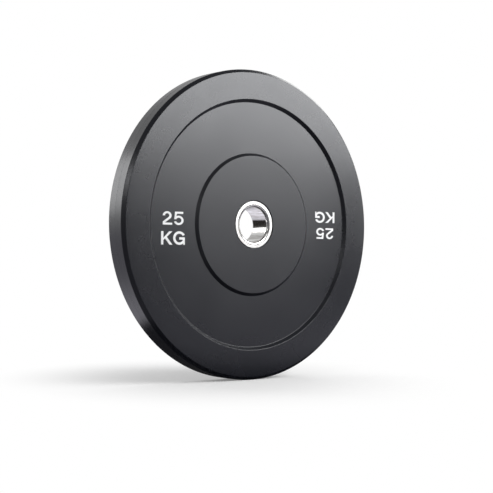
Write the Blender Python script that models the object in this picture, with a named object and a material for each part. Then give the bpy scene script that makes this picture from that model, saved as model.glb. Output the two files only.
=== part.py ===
"""A rubber-covered weight plate with a steel core, a two-flange hub and raised weight marks.

The plate stands upright, as on a bar: its axis runs along Y, its front faces -Y and the
origin is at its centre. Each separate piece is its own object. Lengths are in metres.
"""

import bmesh
import bpy
from math import ceil, cos, pi, radians, sin, tan
from mathutils import Matrix, Vector

# Overall plate
PLATE_DIAMETER = 0.450
PLATE_THICKNESS = 0.040
EDGE_CHAMFER_RADIAL = 0.0047
EDGE_CHAMFER_AXIAL = 0.0049

# Face: a flat rim, a sloped step down to the web, and a low boss round the hub
RIM_WIDTH = 0.0433
STEP_RUN = 0.0042
WEB_RECESS = 0.0046
BOSS_TOP_DIAMETER = 0.1990
BOSS_SLOPE_RUN = 0.0042
BOSS_RISE = 0.0038

# Steel core inside the rubber, keyed to it by a ring of holes
TREAD_RUBBER = 0.0295
WEB_RUBBER = 0.0039
BOSS_EDGE_RUBBER = 0.0045
HUB_LIP_RUBBER = 0.0015
CORE_EDGE_CHAMFER = 0.0020
KEY_HOLE_COUNT = 12
KEY_HOLE_DIAMETER = 0.016
KEY_ROOT = 0.0015

# Hub: a sleeve with a pressed-on flange at each end
BORE_DIAMETER = 0.0504
SLEEVE_END_WALL = 0.0043
SLEEVE_END_LAND = 0.0008
SLEEVE_SHOULDER = 0.0015
FLANGE_WIDTH = 0.0045
FLANGE_THICKNESS = 0.0030
FLANGE_EDGE_CHAMFER = 0.0005
HUB_SET_BACK = 0.0006

# Weight marks in the middle of the web: two blocks of two lines on each face, the right one
# upside down, each at its own height above the plate's centre and with its own letter height
MARK_LEFT_HEIGHT = -0.0089
MARK_RIGHT_HEIGHT = 0.0029
MARK_THICKNESS = 0.0006
LEFT_LETTER_HEIGHT = 0.0184
RIGHT_LETTER_HEIGHT = 0.0166
LINE_PITCH_LETTERS = 1.49
DIGIT_SPACE = 0.0030
LETTER_SPACE = 0.0008

# The letters are drawn on a grid of this many units to a letter's height, and their widths
# are the same in both blocks
GRID_UNITS = 18
DIGIT_UNIT_WIDTH = 0.00129
LETTER_UNIT_WIDTH = 0.001125
DIGIT_STROKE_UNITS = 2.8
LETTER_STROKE_UNITS = 3.3
LETTER_ARC_STEP = 20

# Clearance between touching pieces, and how finely round pieces are divided
FIT_GAP = 0.0003
PLATE_SIDES = 96
HUB_SIDES = 48
KEY_SIDES = 16
SHARP_ANGLE = radians(30)

# Radii that follow from the sizes above
TREAD_RADIUS = PLATE_DIAMETER / 2
RIM_INNER_RADIUS = TREAD_RADIUS - RIM_WIDTH
WEB_OUTER_RADIUS = RIM_INNER_RADIUS - STEP_RUN
BOSS_TOP_RADIUS = BOSS_TOP_DIAMETER / 2
WEB_INNER_RADIUS = BOSS_TOP_RADIUS + BOSS_SLOPE_RUN
MARK_REACH = (WEB_INNER_RADIUS + WEB_OUTER_RADIUS) / 2
CORE_RADIUS = TREAD_RADIUS - TREAD_RUBBER
CORE_BOSS_RADIUS = BOSS_TOP_RADIUS - BOSS_EDGE_RUBBER
KEY_CIRCLE_RADIUS = (CORE_BOSS_RADIUS + CORE_RADIUS) / 2
BORE_RADIUS = BORE_DIAMETER / 2
FLANGE_SEAT_RADIUS = BORE_RADIUS + SLEEVE_END_WALL
SLEEVE_BODY_RADIUS = FLANGE_SEAT_RADIUS + SLEEVE_SHOULDER
FLANGE_RADIUS = FLANGE_SEAT_RADIUS + FLANGE_WIDTH

# Distances from the plate's middle plane, along its axis
PLATE_HALF = PLATE_THICKNESS / 2
WEB_HALF = PLATE_HALF - WEB_RECESS
BOSS_HALF = WEB_HALF + BOSS_RISE
HUB_HALF = BOSS_HALF - HUB_SET_BACK
FLANGE_SEAT_HALF = HUB_HALF - FLANGE_THICKNESS
SHOULDER_HALF = FLANGE_SEAT_HALF - FIT_GAP
CORE_WEB_HALF = WEB_HALF - WEB_RUBBER
CORE_BOSS_HALF = SHOULDER_HALF - HUB_LIP_RUBBER - FIT_GAP


def clear_scene():
    for leftover in list(bpy.data.objects):
        bpy.data.objects.remove(leftover)


def make_material(name, colour, roughness, metallic=0.0):
    material = bpy.data.materials.new(name)
    material.use_nodes = True
    shader = material.node_tree.nodes["Principled BSDF"]
    shader.inputs["Base Color"].default_value = (*colour, 1.0)
    shader.inputs["Roughness"].default_value = roughness
    shader.inputs["Metallic"].default_value = metallic
    return material


def add_object(name, bm, material):
    bmesh.ops.recalc_face_normals(bm, faces=bm.faces)
    mesh = bpy.data.meshes.new(name)
    bm.to_mesh(mesh)
    bm.free()
    mesh.materials.append(material)
    mesh.shade_smooth()
    mesh.set_sharp_from_angle(angle=SHARP_ANGLE)
    made = bpy.data.objects.new(name, mesh)
    bpy.context.scene.collection.objects.link(made)
    return made


def both_sides(front):
    """A closed profile: the front half's points, then the same points behind the centre."""
    back = [(radius, -along) for radius, along in reversed(front)]
    return front + back


def turned(name, profile, sides, material):
    """Sweep a closed profile of (radius, along) points once round the Y axis.

    Radii are measured to the flats, and a flat faces down, so the plate rests on one.
    """
    bm = bmesh.new()
    half_side = Matrix.Rotation(pi / sides, 3, "Y")
    flats_to_corners = 1 / cos(pi / sides)
    corners = []
    for radius, along in profile:
        corners.append(bm.verts.new(half_side @ Vector((radius * flats_to_corners, along, 0))))
    edges = [bm.edges.new(pair) for pair in zip(corners, corners[1:] + corners[:1])]
    bmesh.ops.spin(
        bm,
        geom=corners + edges,
        cent=(0, 0, 0),
        axis=(0, 1, 0),
        angle=2 * pi,
        steps=sides,
        use_merge=True,
    )
    return add_object(name, bm, material)


def key_posts(name, diameter, length, material):
    """A ring of posts through the plate, used to cut the core's holes and to fill them."""
    bm = bmesh.new()
    corner_radius = diameter / 2 / cos(pi / KEY_SIDES)
    lie_along_y = Matrix.Rotation(pi / 2, 4, "X")
    for index in range(KEY_HOLE_COUNT):
        turn = Matrix.Rotation(2 * pi * (index + 0.5) / KEY_HOLE_COUNT, 4, "Y")
        reach = Matrix.Translation((KEY_CIRCLE_RADIUS, 0, 0))
        bmesh.ops.create_cone(
            bm,
            cap_ends=True,
            segments=KEY_SIDES,
            radius1=corner_radius,
            radius2=corner_radius,
            depth=length,
            matrix=turn @ reach @ lie_along_y,
        )
    posts = add_object(name, bm, material)
    posts.hide_render = True
    posts.display_type = "WIRE"
    return posts


def combine(target, tool, operation):
    modifier = target.modifiers.new(operation.lower(), "BOOLEAN")
    modifier.operation = operation
    modifier.solver = "EXACT"
    modifier.object = tool


def build_steel_core(steel):
    bore = SLEEVE_BODY_RADIUS + FIT_GAP
    front = [
        (bore, -CORE_BOSS_HALF),
        (CORE_BOSS_RADIUS, -CORE_BOSS_HALF),
        (CORE_BOSS_RADIUS, -CORE_WEB_HALF),
        (CORE_RADIUS - CORE_EDGE_CHAMFER, -CORE_WEB_HALF),
        (CORE_RADIUS, -CORE_WEB_HALF + CORE_EDGE_CHAMFER),
    ]
    core = turned("steel_core", both_sides(front), PLATE_SIDES, steel)
    holes = key_posts("core_hole_cutter", KEY_HOLE_DIAMETER, PLATE_THICKNESS, steel)
    combine(core, holes, "DIFFERENCE")


def build_rubber_casing(rubber):
    """One moulding round the core, joined through the core's holes and open at the hub."""
    flange_pocket = FLANGE_RADIUS + FIT_GAP
    lip = SLEEVE_BODY_RADIUS + FIT_GAP
    hollow_boss = CORE_BOSS_RADIUS + FIT_GAP
    hollow_rim = CORE_RADIUS + FIT_GAP
    hollow_boss_half = CORE_BOSS_HALF + FIT_GAP
    hollow_web_half = CORE_WEB_HALF + FIT_GAP
    outside = [
        (flange_pocket, -SHOULDER_HALF),
        (flange_pocket, -BOSS_HALF),
        (BOSS_TOP_RADIUS, -BOSS_HALF),
        (WEB_INNER_RADIUS, -WEB_HALF),
        (WEB_OUTER_RADIUS, -WEB_HALF),
        (RIM_INNER_RADIUS, -PLATE_HALF),
        (TREAD_RADIUS - EDGE_CHAMFER_RADIAL, -PLATE_HALF),
        (TREAD_RADIUS, -PLATE_HALF + EDGE_CHAMFER_AXIAL),
    ]
    hollow = [
        (hollow_rim, -hollow_web_half + CORE_EDGE_CHAMFER),
        (hollow_rim - CORE_EDGE_CHAMFER, -hollow_web_half),
        (hollow_boss, -hollow_web_half),
        (hollow_boss, -hollow_boss_half),
        (lip, -hollow_boss_half),
        (lip, -SHOULDER_HALF),
    ]
    back_hollow = [(radius, -along) for radius, along in reversed(hollow)]
    profile = both_sides(outside) + back_hollow + hollow
    casing = turned("rubber_casing", profile, PLATE_SIDES, rubber)
    post_diameter = KEY_HOLE_DIAMETER - 2 * FIT_GAP
    post_length = 2 * (hollow_web_half + KEY_ROOT)
    posts = key_posts("rubber_key_posts", post_diameter, post_length, rubber)
    combine(casing, posts, "UNION")


def build_hub_sleeve(stainless):
    """A tube whose chamfered lead-in leaves a narrow flat land inside the flange."""
    seat = FLANGE_SEAT_RADIUS - FIT_GAP / 2
    mouth = seat - SLEEVE_END_LAND
    lead_in = mouth - BORE_RADIUS
    front = [
        (BORE_RADIUS, -HUB_HALF + lead_in),
        (mouth, -HUB_HALF),
        (seat, -HUB_HALF),
        (seat, -SHOULDER_HALF),
        (SLEEVE_BODY_RADIUS, -SHOULDER_HALF),
    ]
    turned("hub_sleeve", both_sides(front), HUB_SIDES, stainless)


def build_hub_flange(name, side, stainless):
    """A flat ring pressed on the sleeve's end; side is -1 at the front and 1 at the back."""
    seat = FLANGE_SEAT_RADIUS + FIT_GAP / 2
    profile = [
        (seat, side * FLANGE_SEAT_HALF),
        (seat, side * HUB_HALF),
        (FLANGE_RADIUS - FLANGE_EDGE_CHAMFER, side * HUB_HALF),
        (FLANGE_RADIUS, side * (HUB_HALF - FLANGE_EDGE_CHAMFER)),
        (FLANGE_RADIUS, side * FLANGE_SEAT_HALF),
    ]
    turned(name, profile, HUB_SIDES, stainless)


def arc(centre, radius, start, end):
    """Points round a circle from one angle to another, in degrees."""
    steps = ceil(abs(end - start) / LETTER_ARC_STEP)
    points = []
    for index in range(steps + 1):
        angle = radians(start + (end - start) * index / steps)
        points.append((centre[0] + radius * cos(angle), centre[1] + radius * sin(angle)))
    return points


def along_to_height(point, heading, height):
    return (point[0] + (height - point[1]) / tan(radians(heading)), height)


def along_to_side(point, heading, side):
    return (side, point[1] + (side - point[0]) * tan(radians(heading)))


def digit_two():
    centre = (5.6, 12.4)
    radius = 5.6
    tip = 182
    leave = -50
    foot = 12.1
    outer = arc(centre, radius, leave, tip)
    inner = arc(centre, radius - DIGIT_STROKE_UNITS, tip, leave)
    crook = along_to_height(outer[0], leave - 90, DIGIT_STROKE_UNITS)
    heel = along_to_side(inner[-1], leave - 90, 0)
    base = [(0, 0), (foot, 0), (foot, DIGIT_STROKE_UNITS), crook]
    return base + outer + inner + [heel]


def digit_five():
    centre = (6.1, 6.3)
    radius = 6.35
    tip = -162
    right = 11.9
    bar_low = GRID_UNITS - DIGIT_STROKE_UNITS
    bar = [(1.3, GRID_UNITS), (right, GRID_UNITS), (right, bar_low), (4.0, bar_low)]
    outer = arc(centre, radius, 120, tip)
    inner = arc(centre, radius - DIGIT_STROKE_UNITS, tip, 142)
    stem_end = [(3.2, 7.6), (0.3, 7.6)]
    return bar + outer + inner + stem_end


def letter_k():
    stem = LETTER_STROKE_UNITS
    left = [(stem, 0), (0, 0), (0, GRID_UNITS), (stem, GRID_UNITS)]
    arm = [(stem, 8.8), (11.8, GRID_UNITS), (16.6, GRID_UNITS), (8.4, 10.4)]
    leg = [(16.9, 0), (12.4, 0), (5.7, 8.4), (stem, 5.8)]
    return left + arm + leg


def letter_g():
    centre = (9.4, 9.2)
    radius = 9.2
    tip = 30
    right = 17.6
    bar_top = 10.4
    bar_low = bar_top - LETTER_STROKE_UNITS
    outer = arc(centre, radius, tip, 312)
    inner = arc(centre, radius - LETTER_STROKE_UNITS, 330, tip)
    spur = [(15.6, 0.1), (right, 0.1), (right, bar_top)]
    bar = [(9.4, bar_top), (9.4, bar_low), (right - LETTER_STROKE_UNITS, bar_low)]
    return outer + spur + bar + inner


def sized(outline, unit_width, letter_height):
    """Turn an outline's grid units into metres."""
    return [(x * unit_width, z * letter_height / GRID_UNITS) for x, z in outline]


def glyph_width(outline):
    return max(x for x, _ in outline)


def add_glyph(name, outline, left, baseline, block, white):
    """Raise an outline as a thin pad, in front of the web by the seat gap."""
    bm = bmesh.new()
    corners = []
    for x, z in outline:
        corners.append(bm.verts.new((left + x, 0, baseline + z)))
    seat = bm.faces.new(corners)
    raised = bmesh.ops.extrude_face_region(bm, geom=[seat])["geom"]
    top = [item for item in raised if isinstance(item, bmesh.types.BMVert)]
    bmesh.ops.translate(bm, verts=top, vec=(0, -MARK_THICKNESS, 0))
    glyph = add_object(name, bm, white)
    glyph.parent = block


def add_line(block_name, line, space, baseline, block, white):
    """Set a line of glyphs side by side, centred on the block."""
    widths = [glyph_width(outline) for _, outline in line]
    left = -(sum(widths) + space * (len(line) - 1)) / 2
    for (glyph_name, outline), width in zip(line, widths):
        add_glyph(f"{block_name}_{glyph_name}", outline, left, baseline, block, white)
        left += width + space


def build_mark_block(block_name, place, turn, letter_height, white):
    block = bpy.data.objects.new(block_name + "_block", None)
    block.matrix_world = turn @ Matrix.Translation(place)
    bpy.context.scene.collection.objects.link(block)
    number = [
        ("digit_2", sized(digit_two(), DIGIT_UNIT_WIDTH, letter_height)),
        ("digit_5", sized(digit_five(), DIGIT_UNIT_WIDTH, letter_height)),
    ]
    unit = [
        ("letter_k", sized(letter_k(), LETTER_UNIT_WIDTH, letter_height)),
        ("letter_g", sized(letter_g(), LETTER_UNIT_WIDTH, letter_height)),
    ]
    line_pitch = LINE_PITCH_LETTERS * letter_height
    upper = (line_pitch - letter_height) / 2
    add_line(block_name, number, DIGIT_SPACE, upper, block, white)
    add_line(block_name, unit, LETTER_SPACE, upper - line_pitch, block, white)


def build_marks(white):
    """Both faces carry the same marks; the back's are the front's turned about Z."""
    seat = -(WEB_HALF + FIT_GAP)
    face_turns = {"front": Matrix.Identity(4), "back": Matrix.Rotation(pi, 4, "Z")}
    upside_down = Matrix.Rotation(pi, 4, "Y")
    for face, turn in face_turns.items():
        left_place = (-MARK_REACH, seat, MARK_LEFT_HEIGHT)
        build_mark_block(face + "_left", left_place, turn, LEFT_LETTER_HEIGHT, white)
        right_place = (-MARK_REACH, seat, -MARK_RIGHT_HEIGHT)
        half_turn = turn @ upside_down
        build_mark_block(face + "_right", right_place, half_turn, RIGHT_LETTER_HEIGHT, white)


def build_plate():
    clear_scene()
    rubber = make_material("black_rubber", (0.055, 0.055, 0.058), 0.5)
    steel = make_material("core_steel", (0.30, 0.29, 0.28), 0.6, 1.0)
    stainless = make_material("stainless_steel", (0.80, 0.80, 0.79), 0.2, 1.0)
    white = make_material("white_mark", (0.88, 0.88, 0.88), 0.5)
    build_steel_core(steel)
    build_rubber_casing(rubber)
    build_hub_sleeve(stainless)
    build_hub_flange("hub_flange_front", -1, stainless)
    build_hub_flange("hub_flange_back", 1, stainless)
    build_marks(white)


build_plate()
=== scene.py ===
"""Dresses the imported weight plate: moulded rubber, a turned stainless hub and white marks.

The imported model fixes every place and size. Lengths are in metres, the plate's axis runs
along Y and its front faces -Y.
"""

from math import atan2, ceil, cos, pi, radians, sin, tan

import bmesh
import bpy
from mathutils import Matrix, Vector


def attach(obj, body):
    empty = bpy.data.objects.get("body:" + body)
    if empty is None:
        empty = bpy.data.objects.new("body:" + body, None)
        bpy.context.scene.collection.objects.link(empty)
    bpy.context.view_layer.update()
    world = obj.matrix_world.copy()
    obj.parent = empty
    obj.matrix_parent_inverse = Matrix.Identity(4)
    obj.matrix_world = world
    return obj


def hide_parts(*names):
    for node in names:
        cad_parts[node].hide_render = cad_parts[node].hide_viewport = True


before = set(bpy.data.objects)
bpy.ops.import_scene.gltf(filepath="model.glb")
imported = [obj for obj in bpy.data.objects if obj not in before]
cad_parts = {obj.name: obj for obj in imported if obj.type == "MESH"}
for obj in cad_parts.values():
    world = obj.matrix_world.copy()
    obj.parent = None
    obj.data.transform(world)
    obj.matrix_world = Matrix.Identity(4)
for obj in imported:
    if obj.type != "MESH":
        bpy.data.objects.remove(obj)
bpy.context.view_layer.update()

# Casing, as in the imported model
TREAD_RADIUS = 0.225
EDGE_CHAMFER_RADIAL = 0.0047
EDGE_CHAMFER_AXIAL = 0.0049
RIM_INNER_RADIUS = 0.1817
WEB_OUTER_RADIUS = 0.1775
WEB_INNER_RADIUS = 0.1037
BOSS_TOP_RADIUS = 0.0995
POCKET_RADIUS = 0.0343
LIP_RADIUS = 0.0313
PLATE_HALF = 0.0200
WEB_HALF = 0.0154
BOSS_HALF = 0.0192
SHOULDER_HALF = 0.0153

# Hollow of the casing round the steel core, and the rubber posts through the core's holes
HOLLOW_RADIUS = 0.1958
HOLLOW_CHAMFER = 0.0020
HOLLOW_BOSS_RADIUS = 0.0953
HOLLOW_BOSS_HALF = 0.0138
HOLLOW_WEB_HALF = 0.0118
POST_COUNT = 12
POST_CIRCLE_RADIUS = 0.14525
POST_RADIUS = 0.0077
POST_HALF = 0.0133

# Hub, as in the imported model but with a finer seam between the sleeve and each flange
BORE_RADIUS = 0.0252
SLEEVE_END_RADIUS = 0.02935
SLEEVE_MOUTH_RADIUS = 0.02855
SLEEVE_BODY_RADIUS = 0.0310
FLANGE_INNER_RADIUS = 0.02943
FLANGE_RADIUS = 0.0340
FLANGE_SEAT_HALF = 0.0156
HUB_HALF = 0.0186

# Rounding of the edges, and a groove in the rubber round each flange
TREAD_EDGE_FILLET = 0.0012
STEP_FILLET = 0.0008
BOSS_FILLET = 0.0008
POCKET_FILLET = 0.0003
RELIEF_RADIUS = 0.0353
RELIEF_HALF = 0.0168
FLANGE_FILLET = 0.0004
SEAM_FILLET = 0.0001
FILLET_STEPS = 6
FILLET_SPACING = 0.0004

# Slight bow of the moulded faces: the rim rolls off, the web rises and the boss sinks
RIM_FLAT_RADIUS = 0.203
RIM_ROLL = 0.0002
WEB_CROWN = 0.0003
BOSS_SINK = 0.00015
FACE_RINGS = 8

# Parting line left by the mould round the middle of the tread
PARTING_HEIGHT = 0.00012
PARTING_HALF = 0.0003
PARTING_FOOT = 0.0007

# Weight marks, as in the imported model
MARK_REACH = 0.1406
MARK_LEFT_HEIGHT = -0.0089
MARK_RIGHT_HEIGHT = 0.0029
MARK_ROOT = 0.00005
MARK_THICKNESS = 0.0006
MARK_BEVEL = 0.00015
MARK_BEVEL_STEPS = 3
LEFT_LETTER_HEIGHT = 0.0184
RIGHT_LETTER_HEIGHT = 0.0166
LINE_PITCH_LETTERS = 1.49
DIGIT_SPACE = 0.0030
LETTER_SPACE = 0.0008
GRID_UNITS = 18
DIGIT_UNIT_WIDTH = 0.00129
LETTER_UNIT_WIDTH = 0.001125
DIGIT_STROKE_UNITS = 2.8
LETTER_STROKE_UNITS = 3.3
LETTER_ARC_STEP = 6

# Values between which most of a noise lies
NOISE_LOW = 0.3
NOISE_HIGH = 0.7

# Rubber: its colours, its gloss from the boss out to the rim, and the unevenness of its skin
RUBBER_DARK = (0.0050, 0.0056, 0.0090)
RUBBER_LIGHT = (0.0068, 0.0075, 0.0116)
RUBBER_IOR = 1.62
RUBBER_GLOSS_TINT = (0.965, 0.975, 1.0)
SATIN_RADIUS = 0.09
SATIN_ROUGHNESS = 0.35
SMOOTH_RADIUS = 0.19
SMOOTH_ROUGHNESS = 0.27
PATCH_SCALE = 14.0
PATCH_ROUGHNESS = 0.02
WAVE_SCALE = 22.0
WAVE_DEPTH = 0.00006
RUBBER_GRAIN_SCALE = 2600.0
GRAIN_DEPTH = 0.00001

# Stainless steel: lathe rings, and streaks that are drawn out along the bore
STAINLESS_DARK = (0.64, 0.62, 0.60)
STAINLESS_LIGHT = (0.86, 0.86, 0.85)
POLISHED_ROUGHNESS = (0.10, 0.15)
TURNED_ROUGHNESS = (0.36, 0.42)
LATHE_RING_SCALE = 900.0
LATHE_RING_DEPTH = 0.000004
LATHE_RING_STRENGTH = 0.4
STREAK_SHAPE = (1.0, 0.1, 1.0)
STREAK_SCALE = 340.0
STREAK_DARK_END = 0.32
STREAK_LIGHT_END = 0.62
STREAK_DEPTH = 0.00002

# White inlay of the marks
INLAY_DARK = (0.90, 0.90, 0.91)
INLAY_LIGHT = (0.95, 0.95, 0.96)
INLAY_ROUGHNESS = (0.42, 0.52)
INLAY_SCALE = 180.0
INLAY_GRAIN_SCALE = 2200.0

# Machined steel of the core
CORE_DARK = (0.22, 0.21, 0.20)
CORE_LIGHT = (0.36, 0.35, 0.34)
CORE_ROUGHNESS = (0.42, 0.60)
CLOUD_SCALE = 40.0
CORE_RING_SCALE = 300.0
CORE_RING_DEPTH = 0.00003
CORE_RING_STRENGTH = 0.6

# How finely round pieces are divided
CASING_STEPS = 512
HUB_STEPS = 256
POST_STEPS = 32
SHARP_ANGLE = radians(30)

# Camera, fitted to the circles in the photograph
CAMERA_AZIMUTH = -38.32
CAMERA_ELEVATION = -2.0
CAMERA_ROLL = 0.58
CAMERA_DISTANCE = 1.6765
CAMERA_AIM_RIGHT = 0.00041
CAMERA_AIM_UP = -0.03164
CAMERA_LENS = 83.64

# Floor, and how far from the plate it turns from shadowed to white
FLOOR_HALF = 8.0
FLOOR_NEAR = 0.12
FLOOR_FAR = 0.38
FLOOR_COLOUR = (0.80, 0.80, 0.80)
FLOOR_LIFT = 0.20

# Room: its colour, and its brightness as a fill on matt surfaces and in the gloss
ROOM_COLOUR = (1.0, 1.0, 1.0)
ROOM_FILL = 0.40
ROOM_SHEEN = 0.17

# The room's dim side on the right, as the gloss shows it
DIM_AZIMUTH = 116
DIM_EDGE = 26
DIM_CORE = 10
DIM_SHARE = 0.35

# White backdrop behind the plate, as the gloss shows it, and the floor in front of that
BACKDROP_AZIMUTH = 208
BACKDROP_EDGE = 80
BACKDROP_CORE = 53
BACKDROP_FULL = 0.42
BACKDROP_TOP = 0.64
BACKDROP_ABOVE = 0.35
BACKDROP_FLOOR_NEAR = 0.33
BACKDROP_FLOOR_FAR = 0.55
BACKDROP_NEAR_SHEEN = 0.95
BACKDROP_FAR_SHEEN = 0.58

# Floor as the gloss shows it, a painted reflection: dim, a painted pool of light in front on the
# right, and painted dark right under the plate
FLOOR_SHEEN = 0.13
FLOOR_SHEEN_TINT = (0.96, 0.94, 1.03)
LIT_FLOOR_AZIMUTH = 45
LIT_FLOOR_EDGE = 36
LIT_FLOOR_CORE = 22
LIT_FLOOR_SHEEN = 0.30
SPOT_START = 0.42
SPOT_END = 0.95
SPOT_FADE = 0.10
SPOT_SHEEN = 1.0
DARK_FLOOR_REACH = 0.220
LIGHT_FLOOR_REACH = 0.250
DARK_FLOOR_SHARE = 0.04

# Black card close behind the hub, seen only in the bore's polish: a painted dark reflection
CARD_AZIMUTH = 215
CARD_DISTANCE = 0.35
CARD_WIDTH = 0.13
CARD_LOW = -0.120
CARD_HIGH = 0.080
CARD_COLOUR = (0.030, 0.024, 0.020)
CARD_ROUGHNESS = 0.9

# Soft lamps: name, azimuth, elevation, distance, width, height and brightness of the surface
SOFTBOXES = [
    ("key_softbox", 41, 24.6, 1.75, 1.45, 1.1, 6.6),
    ("right_softbox", 66, 3, 1.75, 1.0, 0.35, 1.25),
    ("front_softbox", 4, 26, 1.75, 0.5, 0.5, 1.6),
    ("front_left_softbox", -59, 23, 1.75, 0.4, 0.4, 4.2),
    ("back_left_softbox", 213, 17, 1.75, 0.6, 0.8, 2.6),
    ("high_left_softbox", 222, 38, 1.75, 0.4, 0.4, 1.8),
    ("back_right_softbox", 114, 34, 1.9, 0.8, 0.8, 3.6),
]


def direction(azimuth, elevation):
    """The unit vector from the plate towards an azimuth and elevation, in degrees."""
    around = radians(azimuth)
    above = radians(elevation)
    return Vector((sin(around) * cos(above), -cos(around) * cos(above), sin(above)))


def add_object(name, mesh, material):
    mesh.materials.append(material)
    made = bpy.data.objects.new(name, mesh)
    bpy.context.scene.collection.objects.link(made)
    return made


def rounded(profile):
    """Round each corner of a closed profile of (radius, along, fillet)."""
    points = []
    for index, (radius, along, fillet) in enumerate(profile):
        corner = Vector((radius, along))
        if fillet == 0:
            points.append(corner)
            continue
        before = (Vector(profile[index - 1][:2]) - corner).normalized()
        after = (Vector(profile[(index + 1) % len(profile)][:2]) - corner).normalized()
        half_angle = before.angle(after) / 2
        centre = corner + (before + after).normalized() * (fillet / sin(half_angle))
        start = corner + before * (fillet / tan(half_angle)) - centre
        end = corner + after * (fillet / tan(half_angle)) - centre
        sweep = atan2(start.cross(end), start.dot(end))
        steps = max(FILLET_STEPS, ceil(abs(sweep) * fillet / FILLET_SPACING))
        for step in range(steps + 1):
            points.append(centre + Matrix.Rotation(sweep * step / steps, 2) @ start)
    return points


def bowed(start, end, rise):
    """Rings across a face, bowed so that it meets its start at a tilt and its end level."""
    points = []
    for step in range(1, FACE_RINGS):
        share = step / FACE_RINGS
        radius = start[0] + (end[0] - start[0]) * share
        points.append((radius, end[1] - rise * (1 - share) ** 2, 0))
    return points


def other_half(points):
    """The same points on the other side of the plate's middle, in the reverse order."""
    return [(radius, -along, fillet) for radius, along, fillet in reversed(points)]


def turned(name, points, steps, material):
    """Sweep a closed profile once round the Y axis."""
    count = len(points)
    corners = []
    faces = []
    for turn in range(steps):
        angle = 2 * pi * turn / steps
        following = (turn + 1) % steps
        for index, (radius, along) in enumerate(points):
            corners.append((radius * cos(angle), along, radius * sin(angle)))
            beyond = (index + 1) % count
            faces.append(
                (
                    turn * count + index,
                    turn * count + beyond,
                    following * count + beyond,
                    following * count + index,
                )
            )
    mesh = bpy.data.meshes.new(name)
    mesh.from_pydata(corners, [], faces)
    return add_object(name, face_outwards(mesh), material)


def face_outwards(mesh):
    bm = bmesh.new()
    bm.from_mesh(mesh)
    bmesh.ops.recalc_face_normals(bm, faces=bm.faces)
    bm.to_mesh(mesh)
    bm.free()
    return mesh


def smooth(piece):
    """Smooth shading that keeps flat faces flat up to their rounded edges."""
    piece.data.shade_smooth()
    piece.data.set_sharp_from_angle(angle=SHARP_ANGLE)
    weighted = piece.modifiers.new("flat_faces", "WEIGHTED_NORMAL")
    weighted.keep_sharp = True


def hand_over(piece, node):
    """The piece stands for a CAD node, whose own mesh it hides, and rides with the plate."""
    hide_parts(node)
    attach(piece, "root")


def new_material(name):
    material = bpy.data.materials.new(name)
    material.use_nodes = True
    return material, material.node_tree, material.node_tree.nodes["Principled BSDF"]


def add_node(tree, kind, settings=None, inputs=None):
    """Add a node, set its properties, and set or link its inputs by name."""
    node = tree.nodes.new(kind)
    for key, value in (settings or {}).items():
        setattr(node, key, value)
    for key, value in (inputs or {}).items():
        if isinstance(value, bpy.types.NodeSocket):
            tree.links.new(value, node.inputs[key])
        else:
            node.inputs[key].default_value = value
    return node


def noise(tree, place, scale, detail, roughness=0.5):
    inputs = {"Vector": place, "Scale": scale, "Detail": detail, "Roughness": roughness}
    return add_node(tree, "ShaderNodeTexNoise", None, inputs).outputs["Fac"]


def spread(tree, value, low, high, to_low, to_high):
    """Map a range of a value to another range."""
    inputs = {
        "Value": value,
        "From Min": low,
        "From Max": high,
        "To Min": to_low,
        "To Max": to_high,
    }
    return add_node(tree, "ShaderNodeMapRange", None, inputs).outputs["Result"]


def arithmetic(tree, operation, first, second):
    inputs = {0: first, 1: second}
    return add_node(tree, "ShaderNodeMath", {"operation": operation}, inputs).outputs[0]


def sector(tree, heading, azimuth, edge, core):
    """How far a unit heading lies inside the sector round an azimuth, in degrees."""
    inputs = {0: heading, 1: direction(azimuth, 0)}
    dot = {"operation": "DOT_PRODUCT"}
    nearness = add_node(tree, "ShaderNodeVectorMath", dot, inputs).outputs["Value"]
    return spread(tree, nearness, cos(radians(edge)), cos(radians(core)), 0.0, 1.0)


def dimmed(tree, heading, sheen):
    """Darken what the gloss shows towards the dim side of the room."""
    within = sector(tree, heading, DIM_AZIMUTH, DIM_EDGE, DIM_CORE)
    share = spread(tree, within, 0.0, 1.0, 1.0, DIM_SHARE)
    return arithmetic(tree, "MULTIPLY", sheen, share)


def bump(tree, height, distance, strength=1.0, below=None):
    inputs = {"Height": height, "Distance": distance, "Strength": strength}
    if below is not None:
        inputs["Normal"] = below
    return add_node(tree, "ShaderNodeBump", None, inputs).outputs["Normal"]


def blend_values(tree, share, first, second):
    inputs = {"Factor": share, 2: first, 3: second}
    return add_node(tree, "ShaderNodeMix", None, inputs).outputs[0]


def blend_colours(tree, share, first, second):
    inputs = {"Factor": share, 6: (*first, 1.0), 7: (*second, 1.0)}
    return add_node(tree, "ShaderNodeMix", {"data_type": "RGBA"}, inputs).outputs[2]


def lathe_rings(tree, place, scale, distortion, detail):
    """The rings that turning leaves round the plate's axis."""
    shape = {"wave_type": "RINGS", "rings_direction": "Y"}
    inputs = {"Vector": place, "Scale": scale, "Distortion": distortion, "Detail": detail}
    return add_node(tree, "ShaderNodeTexWave", shape, inputs).outputs["Fac"]


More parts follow.
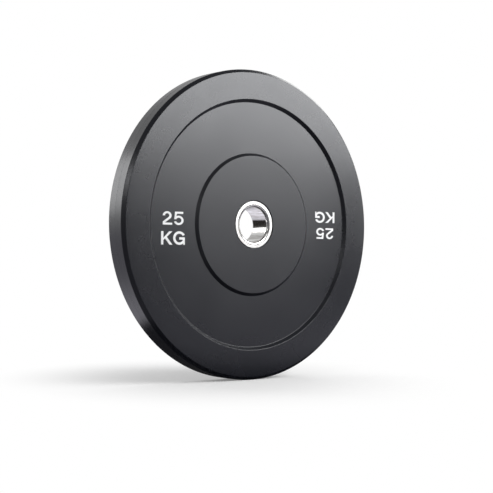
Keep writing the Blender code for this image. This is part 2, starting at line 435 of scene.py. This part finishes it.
def rubber_material():
    """Moulded black rubber: a satin skin, smoothest on the rim and roughest on the boss."""
    material, tree, shader = new_material("moulded_rubber")
    place = add_node(tree, "ShaderNodeTexCoord").outputs["Object"]
    axes = add_node(tree, "ShaderNodeSeparateXYZ", None, {0: place}).outputs
    across = add_node(tree, "ShaderNodeCombineXYZ", None, {0: axes["X"], 2: axes["Z"]}).outputs[0]
    length = {"operation": "LENGTH"}
    radius = add_node(tree, "ShaderNodeVectorMath", length, {0: across}).outputs["Value"]
    patches = noise(tree, place, PATCH_SCALE, detail=4.0, roughness=0.6)
    grain = noise(tree, place, RUBBER_GRAIN_SCALE, detail=2.0)
    zone = spread(tree, radius, SATIN_RADIUS, SMOOTH_RADIUS, SATIN_ROUGHNESS, SMOOTH_ROUGHNESS)
    mottled = spread(tree, patches, NOISE_LOW, NOISE_HIGH, -PATCH_ROUGHNESS, PATCH_ROUGHNESS)
    rough = arithmetic(tree, "ADD", zone, mottled)
    shade = blend_colours(tree, patches, RUBBER_DARK, RUBBER_LIGHT)
    shader.inputs["IOR"].default_value = RUBBER_IOR
    shader.inputs["Specular Tint"].default_value = (*RUBBER_GLOSS_TINT, 1.0)
    tree.links.new(shade, shader.inputs["Base Color"])
    tree.links.new(rough, shader.inputs["Roughness"])
    waves = bump(tree, noise(tree, place, WAVE_SCALE, detail=1.0), WAVE_DEPTH)
    skin = bump(tree, grain, GRAIN_DEPTH, below=waves)
    tree.links.new(skin, shader.inputs["Normal"])
    return material


def stainless_material(name, smoothest, roughest):
    """Stainless steel with fine lathe rings and streaks along the bore."""
    material, tree, shader = new_material(name)
    place = add_node(tree, "ShaderNodeTexCoord").outputs["Object"]
    shader.inputs["Metallic"].default_value = 1.0
    rings = lathe_rings(tree, place, LATHE_RING_SCALE, distortion=0.5, detail=2.0)
    drawn_out = {"operation": "MULTIPLY"}
    along = add_node(tree, "ShaderNodeVectorMath", drawn_out, {0: place, 1: STREAK_SHAPE})
    streaks = noise(tree, along.outputs[0], STREAK_SCALE, detail=3.0)
    lightness = spread(tree, streaks, STREAK_DARK_END, STREAK_LIGHT_END, 0.0, 1.0)
    shade = blend_colours(tree, lightness, STAINLESS_DARK, STAINLESS_LIGHT)
    tree.links.new(shade, shader.inputs["Base Color"])
    rough = spread(tree, streaks, NOISE_LOW, NOISE_HIGH, roughest, smoothest)
    tree.links.new(rough, shader.inputs["Roughness"])
    turned_rings = bump(tree, rings, LATHE_RING_DEPTH, LATHE_RING_STRENGTH)
    worn = bump(tree, streaks, STREAK_DEPTH, below=turned_rings)
    tree.links.new(worn, shader.inputs["Normal"])
    return material


def white_material():
    """Matt white inlay, slightly uneven."""
    material, tree, shader = new_material("white_inlay")
    place = add_node(tree, "ShaderNodeTexCoord").outputs["Object"]
    uneven = noise(tree, place, INLAY_SCALE, detail=3.0)
    shade = blend_colours(tree, uneven, INLAY_DARK, INLAY_LIGHT)
    tree.links.new(shade, shader.inputs["Base Color"])
    rough = spread(tree, uneven, NOISE_LOW, NOISE_HIGH, *INLAY_ROUGHNESS)
    tree.links.new(rough, shader.inputs["Roughness"])
    grain = noise(tree, place, INLAY_GRAIN_SCALE, detail=1.0)
    tree.links.new(bump(tree, grain, GRAIN_DEPTH), shader.inputs["Normal"])
    return material


def core_material():
    """Plain machined steel for the core inside the rubber."""
    material, tree, shader = new_material("machined_steel")
    place = add_node(tree, "ShaderNodeTexCoord").outputs["Object"]
    shader.inputs["Metallic"].default_value = 1.0
    rings = lathe_rings(tree, place, CORE_RING_SCALE, distortion=1.0, detail=3.0)
    cloudy = noise(tree, place, CLOUD_SCALE, detail=5.0, roughness=0.6)
    shade = blend_colours(tree, cloudy, CORE_DARK, CORE_LIGHT)
    tree.links.new(shade, shader.inputs["Base Color"])
    rough = spread(tree, cloudy, NOISE_LOW, NOISE_HIGH, *CORE_ROUGHNESS)
    tree.links.new(rough, shader.inputs["Roughness"])
    turned_rings = bump(tree, rings, CORE_RING_DEPTH, CORE_RING_STRENGTH)
    tree.links.new(turned_rings, shader.inputs["Normal"])
    return material


def build_casing(rubber):
    """The rubber moulding, with its edges rounded and its parting line on the tread."""
    foot = TREAD_RADIUS - PARTING_HEIGHT
    pocket = (RELIEF_RADIUS, -BOSS_HALF + BOSS_SINK)
    boss_edge = (BOSS_TOP_RADIUS, -BOSS_HALF)
    web_start = (WEB_INNER_RADIUS, -WEB_HALF - WEB_CROWN)
    web_end = (WEB_OUTER_RADIUS, -WEB_HALF)
    rim_flat = (RIM_FLAT_RADIUS, -PLATE_HALF)
    rim_edge = (TREAD_RADIUS - EDGE_CHAMFER_RADIAL, -PLATE_HALF + RIM_ROLL)
    outside = [
        (POCKET_RADIUS, -SHOULDER_HALF, 0),
        (POCKET_RADIUS, -RELIEF_HALF, 0),
        (RELIEF_RADIUS, -RELIEF_HALF, 0),
        (*pocket, POCKET_FILLET),
        *reversed(bowed(boss_edge, pocket, BOSS_SINK)),
        (*boss_edge, BOSS_FILLET),
        (*web_start, BOSS_FILLET),
        *bowed(web_start, web_end, WEB_CROWN),
        (*web_end, STEP_FILLET),
        (RIM_INNER_RADIUS, -PLATE_HALF, STEP_FILLET),
        (*rim_flat, 0),
        *reversed(bowed(rim_edge, rim_flat, -RIM_ROLL)),
        (*rim_edge, TREAD_EDGE_FILLET),
        (foot, -PLATE_HALF + EDGE_CHAMFER_AXIAL, TREAD_EDGE_FILLET),
        (foot, -PARTING_FOOT, 0),
        (TREAD_RADIUS, -PARTING_HALF, 0),
    ]
    hollow = [
        (HOLLOW_RADIUS, -HOLLOW_WEB_HALF + HOLLOW_CHAMFER, 0),
        (HOLLOW_RADIUS - HOLLOW_CHAMFER, -HOLLOW_WEB_HALF, 0),
        (HOLLOW_BOSS_RADIUS, -HOLLOW_WEB_HALF, 0),
        (HOLLOW_BOSS_RADIUS, -HOLLOW_BOSS_HALF, 0),
        (LIP_RADIUS, -HOLLOW_BOSS_HALF, 0),
        (LIP_RADIUS, -SHOULDER_HALF, 0),
    ]
    profile = outside + other_half(outside) + other_half(hollow) + hollow
    casing = turned("casing_moulding", rounded(profile), CASING_STEPS, rubber)
    join_posts(casing, rubber)
    smooth(casing)
    hand_over(casing, "rubber_casing")


def join_posts(casing, rubber):
    """Join the posts that hold the two faces together through the holes of the core."""
    bm = bmesh.new()
    for index in range(POST_COUNT):
        angle = 2 * pi * (index + 0.5) / POST_COUNT
        place = Matrix.Translation(
            (POST_CIRCLE_RADIUS * cos(angle), 0, POST_CIRCLE_RADIUS * sin(angle))
        )
        bmesh.ops.create_cone(
            bm,
            cap_ends=True,
            segments=POST_STEPS,
            radius1=POST_RADIUS,
            radius2=POST_RADIUS,
            depth=2 * POST_HALF,
            matrix=place @ Matrix.Rotation(pi / 2, 4, "X"),
        )
    mesh = bpy.data.meshes.new("posts")
    bm.to_mesh(mesh)
    bm.free()
    posts = add_object("posts", mesh, rubber)
    joined = casing.modifiers.new("posts", "BOOLEAN")
    joined.operation = "UNION"
    joined.solver = "EXACT"
    joined.object = posts
    evaluated = casing.evaluated_get(bpy.context.evaluated_depsgraph_get())
    casing.data = bpy.data.meshes.new_from_object(evaluated)
    casing.modifiers.remove(joined)
    bpy.data.objects.remove(posts)


def build_sleeve(stainless):
    """The bored tube, with a rounded lead-in at each end."""
    lead_in = SLEEVE_MOUTH_RADIUS - BORE_RADIUS
    front = [
        (BORE_RADIUS, -HUB_HALF, lead_in),
        (SLEEVE_END_RADIUS, -HUB_HALF, SEAM_FILLET),
        (SLEEVE_END_RADIUS, -SHOULDER_HALF, 0),
        (SLEEVE_BODY_RADIUS, -SHOULDER_HALF, 0),
    ]
    profile = front + other_half(front)
    sleeve = turned("sleeve_turned", rounded(profile), HUB_STEPS, stainless)
    smooth(sleeve)
    hand_over(sleeve, "hub_sleeve")


def build_flange(face, side, stainless):
    """The flat ring round one end of the sleeve."""
    profile = [
        (FLANGE_INNER_RADIUS, side * FLANGE_SEAT_HALF, 0),
        (FLANGE_INNER_RADIUS, side * HUB_HALF, SEAM_FILLET),
        (FLANGE_RADIUS, side * HUB_HALF, FLANGE_FILLET),
        (FLANGE_RADIUS, side * FLANGE_SEAT_HALF, 0),
    ]
    flange = turned(f"flange_{face}_turned", rounded(profile), HUB_STEPS, stainless)
    smooth(flange)
    hand_over(flange, f"hub_flange_{face}")


def arc(centre, radius, start, end):
    """Points round a circle from one angle to another, in degrees."""
    steps = ceil(abs(end - start) / LETTER_ARC_STEP)
    points = []
    for index in range(steps + 1):
        angle = radians(start + (end - start) * index / steps)
        points.append((centre[0] + radius * cos(angle), centre[1] + radius * sin(angle)))
    return points


def along_to_height(point, heading, height):
    """Where a line from a point, at a heading in degrees, reaches a height."""
    return (point[0] + (height - point[1]) / tan(radians(heading)), height)


def along_to_side(point, heading, side):
    """Where a line from a point, at a heading in degrees, reaches a place across."""
    return (side, point[1] + (side - point[0]) * tan(radians(heading)))


def digit_two():
    """Outline of the 2, in grid units."""
    centre = (5.6, 12.4)
    radius = 5.6
    tip = 182
    leave = -50
    foot = 12.1
    outer = arc(centre, radius, leave, tip)
    inner = arc(centre, radius - DIGIT_STROKE_UNITS, tip, leave)
    crook = along_to_height(outer[0], leave - 90, DIGIT_STROKE_UNITS)
    heel = along_to_side(inner[-1], leave - 90, 0)
    base = [(0, 0), (foot, 0), (foot, DIGIT_STROKE_UNITS), crook]
    return base + outer + inner + [heel]


def digit_five():
    """Outline of the 5, in grid units."""
    centre = (6.1, 6.3)
    radius = 6.35
    tip = -162
    outer_start = 120
    inner_end = 142
    right = 11.9
    stem_foot = 7.6
    bar_low = GRID_UNITS - DIGIT_STROKE_UNITS
    bar = [(1.3, GRID_UNITS), (right, GRID_UNITS), (right, bar_low), (4.0, bar_low)]
    outer = arc(centre, radius, outer_start, tip)
    inner = arc(centre, radius - DIGIT_STROKE_UNITS, tip, inner_end)
    stem_end = [(3.2, stem_foot), (0.3, stem_foot)]
    return bar + outer + inner + stem_end


def letter_k():
    """Outline of the K, in grid units."""
    stem = LETTER_STROKE_UNITS
    left = [(stem, 0), (0, 0), (0, GRID_UNITS), (stem, GRID_UNITS)]
    arm = [(stem, 8.8), (11.8, GRID_UNITS), (16.6, GRID_UNITS), (8.4, 10.4)]
    leg = [(16.9, 0), (12.4, 0), (5.7, 8.4), (stem, 5.8)]
    return left + arm + leg


def letter_g():
    """Outline of the G, in grid units."""
    centre = (9.4, 9.2)
    radius = 9.2
    tip = 30
    outer_end = 312
    inner_start = 330
    right = 17.6
    foot = 0.1
    bar_left = 9.4
    bar_top = 10.4
    bar_low = bar_top - LETTER_STROKE_UNITS
    outer = arc(centre, radius, tip, outer_end)
    inner = arc(centre, radius - LETTER_STROKE_UNITS, inner_start, tip)
    spur = [(15.6, foot), (right, foot), (right, bar_top)]
    bar = [(bar_left, bar_top), (bar_left, bar_low), (right - LETTER_STROKE_UNITS, bar_low)]
    return outer + spur + bar + inner


def sized(outline, unit_width, letter_height):
    """Turn an outline's grid units into metres."""
    return [(x * unit_width, z * letter_height / GRID_UNITS) for x, z in outline]


def glyph_width(outline):
    return max(x for x, _ in outline)


def add_glyph(node, outline, left, baseline, place, white):
    """A thin inlay with softened edges, its root just inside the rubber."""
    bm = bmesh.new()
    corners = []
    for x, z in outline:
        corners.append(bm.verts.new((left + x, 0, baseline + z)))
    seat = bm.faces.new(corners)
    raised = bmesh.ops.extrude_face_region(bm, geom=[seat])["geom"]
    top = [item for item in raised if isinstance(item, bmesh.types.BMVert)]
    top_edges = [item for item in raised if isinstance(item, bmesh.types.BMEdge)]
    bmesh.ops.translate(bm, verts=top, vec=(0, -MARK_THICKNESS - MARK_ROOT, 0))
    bmesh.ops.bevel(
        bm,
        geom=top_edges,
        offset=MARK_BEVEL,
        segments=MARK_BEVEL_STEPS,
        profile=0.5,
        affect="EDGES",
    )
    bm.transform(place)
    bmesh.ops.recalc_face_normals(bm, faces=bm.faces)
    mesh = bpy.data.meshes.new(node + "_inlay")
    bm.to_mesh(mesh)
    bm.free()
    glyph = add_object(node + "_inlay", mesh, white)
    smooth(glyph)
    hand_over(glyph, node)


def add_line(block, line, space, baseline, place, white):
    """Set a line of glyphs side by side, centred on the block."""
    widths = [glyph_width(outline) for _, outline in line]
    left = -(sum(widths) + space * (len(line) - 1)) / 2
    for (glyph, outline), width in zip(line, widths):
        add_glyph(f"{block}_{glyph}", outline, left, baseline, place, white)
        left += width + space


def build_mark_block(block, place, letter_height, white):
    number = [
        ("digit_2", sized(digit_two(), DIGIT_UNIT_WIDTH, letter_height)),
        ("digit_5", sized(digit_five(), DIGIT_UNIT_WIDTH, letter_height)),
    ]
    unit = [
        ("letter_k", sized(letter_k(), LETTER_UNIT_WIDTH, letter_height)),
        ("letter_g", sized(letter_g(), LETTER_UNIT_WIDTH, letter_height)),
    ]
    line_pitch = LINE_PITCH_LETTERS * letter_height
    upper = (line_pitch - letter_height) / 2
    add_line(block, number, DIGIT_SPACE, upper, place, white)
    add_line(block, unit, LETTER_SPACE, upper - line_pitch, place, white)


def build_marks(white):
    """Both faces carry the same marks; the back's are the front's turned about Z."""
    seat = MARK_ROOT - WEB_HALF
    upside_down = Matrix.Rotation(pi, 4, "Y")
    for face, turn in {"front": 0, "back": pi}.items():
        facing = Matrix.Rotation(turn, 4, "Z")
        left = facing @ Matrix.Translation((-MARK_REACH, seat, MARK_LEFT_HEIGHT))
        build_mark_block(face + "_left", left, LEFT_LETTER_HEIGHT, white)
        shifted = Matrix.Translation((-MARK_REACH, seat, -MARK_RIGHT_HEIGHT))
        right = facing @ upside_down @ shifted
        build_mark_block(face + "_right", right, RIGHT_LETTER_HEIGHT, white)


def world_shader():
    """White behind the plate, also in its gloss; a dim room in front of it and for the fill."""
    world = bpy.data.worlds.new("studio")
    bpy.context.scene.world = world
    world.use_nodes = True
    tree = world.node_tree
    rays = add_node(tree, "ShaderNodeLightPath").outputs
    heading = add_node(tree, "ShaderNodeTexCoord").outputs["Generated"]
    axes = add_node(tree, "ShaderNodeSeparateXYZ", None, {0: heading}).outputs
    behind = sector(tree, heading, BACKDROP_AZIMUTH, BACKDROP_EDGE, BACKDROP_CORE)
    low = spread(tree, axes["Z"], BACKDROP_TOP, BACKDROP_FULL, BACKDROP_ABOVE, 1.0)
    backdrop = arithmetic(tree, "MULTIPLY", behind, low)
    sheen = dimmed(tree, heading, spread(tree, backdrop, 0.0, 1.0, ROOM_SHEEN, 1.0))
    room = blend_values(tree, rays["Is Glossy Ray"], ROOM_FILL, sheen)
    seen = arithmetic(tree, "MAXIMUM", rays["Is Camera Ray"], rays["Is Transmission Ray"])
    strength = arithmetic(tree, "MAXIMUM", seen, room)
    tree.links.new(strength, tree.nodes["Background"].inputs["Strength"])
    tree.nodes["Background"].inputs["Color"].default_value = (*ROOM_COLOUR, 1.0)


def floor_material():
    """Pale and shadowed near the plate, and as white as the background far from it."""
    material = bpy.data.materials.new("pale_floor")
    material.use_nodes = True
    tree = material.node_tree
    tree.nodes.clear()
    rays = add_node(tree, "ShaderNodeLightPath").outputs
    place = add_node(tree, "ShaderNodeTexCoord").outputs["Object"]
    reach = add_node(tree, "ShaderNodeVectorMath", {"operation": "LENGTH"}, {0: place})
    far = add_node(
        tree,
        "ShaderNodeMapRange",
        {"interpolation_type": "SMOOTHSTEP"},
        {"Value": reach.outputs["Value"], "From Min": FLOOR_NEAR, "From Max": FLOOR_FAR},
    ).outputs["Result"]
    seen = arithmetic(tree, "MAXIMUM", rays["Is Camera Ray"], rays["Is Transmission Ray"])
    glow = spread(tree, seen, 0.0, 1.0, ROOM_FILL, 1.0)
    lift = arithmetic(tree, "MULTIPLY", rays["Is Camera Ray"], FLOOR_LIFT)
    matt = add_node(tree, "ShaderNodeBsdfDiffuse", None, {"Color": (*FLOOR_COLOUR, 1.0)})
    lifted = add_node(tree, "ShaderNodeEmission", None, {"Strength": lift})
    near = add_node(tree, "ShaderNodeAddShader", None, {0: matt.outputs[0], 1: lifted.outputs[0]})
    white = add_node(tree, "ShaderNodeEmission", None, {"Strength": glow})
    shown = add_node(
        tree, "ShaderNodeMixShader", None, {0: far, 1: near.outputs[0], 2: white.outputs[0]}
    )
    # Only the gloss sees this emission: a painted reflection of the floor
    sheen = painted_floor_reflection(tree, place, reach.outputs["Value"])
    tinted = {"Color": (*FLOOR_SHEEN_TINT, 1.0), "Strength": sheen}
    mirrored = add_node(tree, "ShaderNodeEmission", None, tinted)
    both = {0: rays["Is Glossy Ray"], 1: shown.outputs[0], 2: mirrored.outputs[0]}
    mixed = add_node(tree, "ShaderNodeMixShader", None, both)
    surface = add_node(tree, "ShaderNodeOutputMaterial", None, {"Surface": mixed.outputs[0]})
    surface.is_active_output = True
    return material


def painted_floor_reflection(tree, place, reach):
    """The floor's brightness in the plate's gloss, a painted reflection with a painted lit spot
    and painted dark under the plate.
    """
    forth = {"operation": "NORMALIZE"}
    heading = add_node(tree, "ShaderNodeVectorMath", forth, {0: place}).outputs[0]
    behind = sector(tree, heading, BACKDROP_AZIMUTH, BACKDROP_EDGE, BACKDROP_CORE)
    white = spread(
        tree,
        reach,
        BACKDROP_FLOOR_NEAR,
        BACKDROP_FLOOR_FAR,
        BACKDROP_NEAR_SHEEN,
        BACKDROP_FAR_SHEEN,
    )
    lit = sector(tree, heading, LIT_FLOOR_AZIMUTH, LIT_FLOOR_EDGE, LIT_FLOOR_CORE)
    # Painted pool of light on the floor, seen only in the gloss
    entered = spread(tree, reach, SPOT_START, SPOT_START + SPOT_FADE, 0.0, 1.0)
    left = spread(tree, reach, SPOT_END - SPOT_FADE, SPOT_END, 1.0, 0.0)
    spot = arithmetic(tree, "MULTIPLY", entered, left)
    grey = spread(tree, spot, 0.0, 1.0, LIT_FLOOR_SHEEN, SPOT_SHEEN)
    back = blend_values(tree, behind, FLOOR_SHEEN, white)
    front = blend_values(tree, lit, FLOOR_SHEEN, grey)
    brightest = arithmetic(tree, "MAXIMUM", back, front)
    # Painted dark right under the plate, seen only in the gloss
    clear = spread(tree, reach, DARK_FLOOR_REACH, LIGHT_FLOOR_REACH, DARK_FLOOR_SHARE, 1.0)
    return dimmed(tree, heading, arithmetic(tree, "MULTIPLY", brightest, clear))


def build_floor():
    mesh = bpy.data.meshes.new("floor")
    corners = [(-1, -1), (1, -1), (1, 1), (-1, 1)]
    mesh.from_pydata([(x * FLOOR_HALF, y * FLOOR_HALF, 0) for x, y in corners], [], [(0, 1, 2, 3)])
    floor = add_object("floor", mesh, floor_material())
    floor.location.z = -TREAD_RADIUS


def build_card():
    """A black card that only gloss shows: a painted dark reflection in the bore."""
    material, _, shader = new_material("black_card")
    shader.inputs["Base Color"].default_value = (*CARD_COLOUR, 1.0)
    shader.inputs["Roughness"].default_value = CARD_ROUGHNESS
    half = CARD_WIDTH / 2
    foot = [(-half, 0, CARD_LOW), (half, 0, CARD_LOW)]
    head = [(half, 0, CARD_HIGH), (-half, 0, CARD_HIGH)]
    mesh = bpy.data.meshes.new("black_card")
    mesh.from_pydata(foot + head, [], [(0, 1, 2, 3)])
    card = add_object("black_card", mesh, material)
    card.location = direction(CARD_AZIMUTH, 0) * CARD_DISTANCE
    card.rotation_euler.z = radians(CARD_AZIMUTH)
    card.visible_camera = False
    card.visible_diffuse = False
    card.visible_shadow = False
    card.visible_transmission = False


def add_softbox(name, azimuth, elevation, distance, width, height, brightness):
    """An elliptical lamp that faces the plate; brightness is that of its surface."""
    data = bpy.data.lights.new(name, "AREA")
    data.shape = "ELLIPSE"
    data.size = width
    data.size_y = height
    data.energy = brightness * pi * (pi / 4) * width * height
    lamp = bpy.data.objects.new(name, data)
    towards = direction(azimuth, elevation)
    lamp.location = towards * distance
    lamp.rotation_euler = towards.to_track_quat("Z", "Y").to_euler()
    lamp.visible_camera = False
    bpy.context.scene.collection.objects.link(lamp)


def build_camera():
    """Stands where the photographer stood, with the picture turned by the same small roll."""
    towards = direction(CAMERA_AZIMUTH, CAMERA_ELEVATION)
    level = Vector((0, 0, 1)).cross(towards).normalized()
    raised = towards.cross(level)
    roll = Matrix.Rotation(radians(CAMERA_ROLL), 3, towards)
    aim = roll @ (level * CAMERA_AIM_RIGHT + raised * CAMERA_AIM_UP)
    place = towards * CAMERA_DISTANCE
    backwards = (place - aim).normalized()
    right = (roll @ raised).cross(backwards).normalized()
    data = bpy.data.cameras.new("camera")
    data.lens = CAMERA_LENS
    camera = bpy.data.objects.new("camera", data)
    axes = Matrix((right, backwards.cross(right), backwards)).transposed()
    camera.matrix_world = Matrix.Translation(place) @ axes.to_4x4()
    bpy.context.scene.collection.objects.link(camera)
    bpy.context.scene.camera = camera


def build_scene():
    build_camera()
    build_floor()
    build_card()
    world_shader()
    for softbox in SOFTBOXES:
        add_softbox(*softbox)
    build_casing(rubber_material())
    build_sleeve(stainless_material("polished_stainless", *POLISHED_ROUGHNESS))
    turned_stainless = stainless_material("turned_stainless", *TURNED_ROUGHNESS)
    build_flange("front", -1, turned_stainless)
    build_flange("back", 1, turned_stainless)
    build_marks(white_material())
    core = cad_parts["steel_core"]
    core.data.materials.clear()
    core.data.materials.append(core_material())
    bpy.context.scene.view_settings.view_transform = "Standard"


build_scene()
